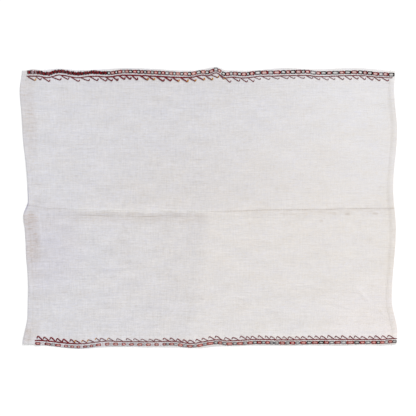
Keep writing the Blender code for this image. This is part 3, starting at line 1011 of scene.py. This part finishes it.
# The plaited stretch
# At its left end the far edge is bound another way. Close slanting stitches of charcoal green wrap
# the edge, and a second row of red ones lies over them like a plait.
PLAIT_WEAR = table((-890, 0), (-882, 0.6), (-864, 0.6), (-856, 0))
PLAIT_PITCH = 6.4
wrap = plain_stitch("wrap_stitch", 12, 3.0, (-3.2, -7.4, 0), (-1, -8.4, 1), (1, 10.4, 1), (3.2, 9.6, 0))
cross = plain_stitch(
    "cross_stitch", 12, 2.4, (4.2, -5.2, 0), (2, -5.6, 2.6), (-2, 6.6, 2.6), (-4.2, 6.2, 0)
)
wrap_settings = {
    **chain_settings, "Stitch": wrap, "Stitch pitch": PLAIT_PITCH * MM, "Uneven turn": 0.4,
    "Uneven size": 0.25, "Uneven place": 3.2 * MM, "Wear": 0.24, "Second worn": MADDER, "Seed": 8,
}
cross_settings = {
    **wrap_settings, "Stitch": cross, "Repeat": 3, "First dye": MADDER, "Second dye": GREEN,
    "Second worn": GREEN, "Uneven size": 0.5, "Seed": 9,
}
for name, settings in (("far_wrap", wrap_settings), ("far_cross", cross_settings)):
    stretches = ((-905, -504, PLAIT_PITCH),)
    work_row(name, stretches, far_line_of(NOTHING), (PLAIT_WEAR, PLAIT_WEAR, NOTHING), settings)

# The hooked lines
# Inside each chain runs a line of stem stitch in maroon, with a row of hooks on it that all lean one
# way. A few of the hooks end in an ochre curl. Much of the maroon has worn to a greyish brown.
MAROON = colour(112, 6, 26)
MAROON_WORN = colour(124, 84, 86)
OCHRE = colour(196, 140, 50)
FAR_MAROON_WEAR = table((-600, 0.3), (-520, 0.1), (-150, 0), (-60, 0.35), (60, 0.45), (930, 0.4))
NEAR_MAROON_WEAR = table(
    (-930, 0), (-700, 0.1), (-640, 0.5), (-480, 1), (-250, 0.9), (-180, 0.35), (930, 0.2),
)
FAR_GOLD = table(
    (-884, 1), (-882, 0), (-364, 0), (-363, 0.5), (-322, 0.5), (-321, 0.8), (-282, 0.8), (-281, 0),
    (-200, 0), (-199, 0.75), (66, 0.75), (68, 0),
)
NEAR_GOLD = table((-656, 0), (-655, 1), (-524, 1), (-523, 0), (-495, 0), (-494, 1), (-465, 1), (-464, 0))
FAR_LINE_SWELL = table((-540, 0.4), (-480, 1.1), (-60, 0.8), (20, 0.1), (930, -0.2))
FAR_HOOK_SWELL = table(
    (-930, 0.5), (-540, 0.6), (-480, 1.9), (-60, 1.5), (20, 0.6), (230, 0.1), (560, 0.1), (640, 0.4),
)
NEAR_LINE_SWELL = table((-930, 0.8), (-690, 0.7), (-600, 0.1), (930, 0))
NEAR_HOOK_SWELL = table(
    (-930, 1.4), (-690, 1.2), (-600, 0.5), (-480, 0.1), (-250, 0.15), (-170, 0.5), (20, 0.4), (80, 0.2),
    (930, 0.25),
)

LINE_PITCH = 8.0
stem = plain_stitch(
    "stem_stitch", 9, 2.3, (-7, -0.9, -0.6), (-3, -0.9, 0.6), (3, 0.9, 0.6), (7, 0.9, -0.6)
)
shank = bezier((-2, 0.4, -0.4), (7, -5.5, 0.8), (17, -12.5, 0.8), (27.5, -18.4, 0.2), 22)
curl = bezier((26, -17.8, 0), (31, -21.6, 0.8), (36.5, -17.5, 0.8), (34.5, -10.5, -0.6), 12)
far_hook = stitch_mesh("far_hook", [Strand(shank, 2.2, start=0.75), Strand(curl, 2.2, curl=1.0)])
shank = bezier((-3, 0.4, -0.4), (6, -4.6, 0.8), (15, -11.6, 0.8), (25, -16.4, 0.2), 22)
curl = bezier((23.5, -16, 0), (28.5, -18.6, 0.8), (31.5, -13, 0.8), (30.5, -6.8, -0.6), 12)
near_hook = stitch_mesh("near_hook", [Strand(shank, 2.1, start=0.8), Strand(curl, 1.9, curl=1.0)])
maroon_settings = {
    **chain_settings, "Stitch": stem, "Stitch pitch": LINE_PITCH * MM, "Uneven turn": 0.16,
    "Uneven dye": 0.3, "Wear": 0.6, "Repeat": ALL_ALIKE, "First dye": MAROON, "First worn": MAROON_WORN,
    "Curl dye": OCHRE, "Seed": 21,
}
far_hook_settings = {
    **maroon_settings, "Stitch": far_hook, "Stitch pitch": 39 * MM, "Follow line": 0.4,
    "Uneven pitch": 0.16, "Uneven turn": 0.10, "Uneven size": 0.16, "Wear": 0.35,
}
near_hook_settings = {**far_hook_settings, "Stitch": near_hook, "Stitch pitch": 34 * MM, "Seed": 24}
work_row(
    "far_line", ((-906, 918, LINE_PITCH),), far_line_of(FAR_LINE_GAP),
    (FAR_MAROON_WEAR, FAR_GOLD, FAR_LINE_SWELL), maroon_settings,
)
work_row(
    "near_line", ((938, -866, LINE_PITCH),), near_line_of(NEAR_LINE_GAP),
    (NEAR_MAROON_WEAR, NEAR_GOLD, NEAR_LINE_SWELL), maroon_settings,
)
work_row(
    "far_hooks",
    (
        (-927, -883, 44, 1.1), (-882, -846, 36), (-853, -713, 46.6, 0.95), (-715, -616, 49.5, 0.95),
        (-619, -529, 45), (-528, -365, 32.6), (-362, 2, 40.4, 1.03), (-5, 215, 36.6),
        (205, 463, 43, 0.76), (464, 620, 39, 0.8), (623, 883, 37.1, 0.95),
    ),
    far_line_of(FAR_LINE_GAP), (FAR_MAROON_WEAR, FAR_GOLD, FAR_HOOK_SWELL), far_hook_settings,
)
work_row(
    "near_hooks",
    (
        (945, 477, 33, 1.05), (477, 199, 30.9, 1.05), (210, 96, 38), (86, 16, 35), (12, -180, 32),
        (-177, -397, 36.6, 0.88), (-407, -443, 36, 0.88), (-457, -655, 33), (-647, -845, 33, 1.15),
    ),
    near_line_of(NEAR_LINE_GAP), (NEAR_MAROON_WEAR, NEAR_GOLD, NEAR_HOOK_SWELL), near_hook_settings,
)

# The sewing
# Fine undyed thread joins the two strips edge to edge with slanting stitches over both selvedges,
# and holds each hem down along its inner fold.
THREAD = colour(232, 229, 224)
THREAD_WORN = colour(176, 158, 138)
SEAM_THREAD_WEAR = table((-930, 0.5), (-740, 0.4), (-690, 0), (40, 0), (110, 0.6))
HEM_THREAD_WEAR = table((-700, 0.3), (-250, 0.5), (-50, 0.5), (50, 0.2))
CLEAN_THREAD_WEAR = table((-700, 0.1), (700, 0.1))
THREAD_PITCH = 8.0
over = plain_stitch(
    "over_stitch", 6, 0.55, (-1.6, -3.6, -1.5), (-1.0, -2.2, 0.5), (1.0, 2.2, 0.5), (1.6, 3.6, -1.5)
)
hem_stitch = plain_stitch(
    "hem_stitch", 6, 0.55, (-2.6, -1.2, -1.3), (-1.4, -0.6, 0.5), (1.4, 0.6, 0.5), (2.6, 1.2, -1.3)
)
thread_settings = {
    **chain_settings, "Stitch": over, "Stitch pitch": THREAD_PITCH * MM, "Uneven pitch": 0.3,
    "Uneven turn": 0.3, "Uneven dye": 0.1, "Wear": 0.3, "Repeat": ALL_ALIKE, "First dye": THREAD,
    "First worn": THREAD_WORN, "Seed": 31,
}
hem_settings = {**thread_settings, "Stitch": hem_stitch, "Seed": 33}
hem_stretches = ((-690, 688, THREAD_PITCH),)
work_row(
    "seam_thread", ((-925, 930, THREAD_PITCH),), lambda x: (x, wave_at(SEAM_LINE, x)),
    (SEAM_THREAD_WEAR, NOTHING, NOTHING), thread_settings,
)
work_row(
    "left_hem_thread", hem_stretches, lambda y: (HEM_SEAM - HALF_LENGTH - wave_at(LEFT_END, y), y),
    (HEM_THREAD_WEAR, NOTHING, NOTHING), hem_settings,
)
work_row(
    "right_hem_thread", hem_stretches, lambda y: (HALF_LENGTH + wave_at(RIGHT_END, y) - HEM_SEAM, y),
    (CLEAN_THREAD_WEAR, NOTHING, NOTHING), {**hem_settings, "Seed": 35},
)
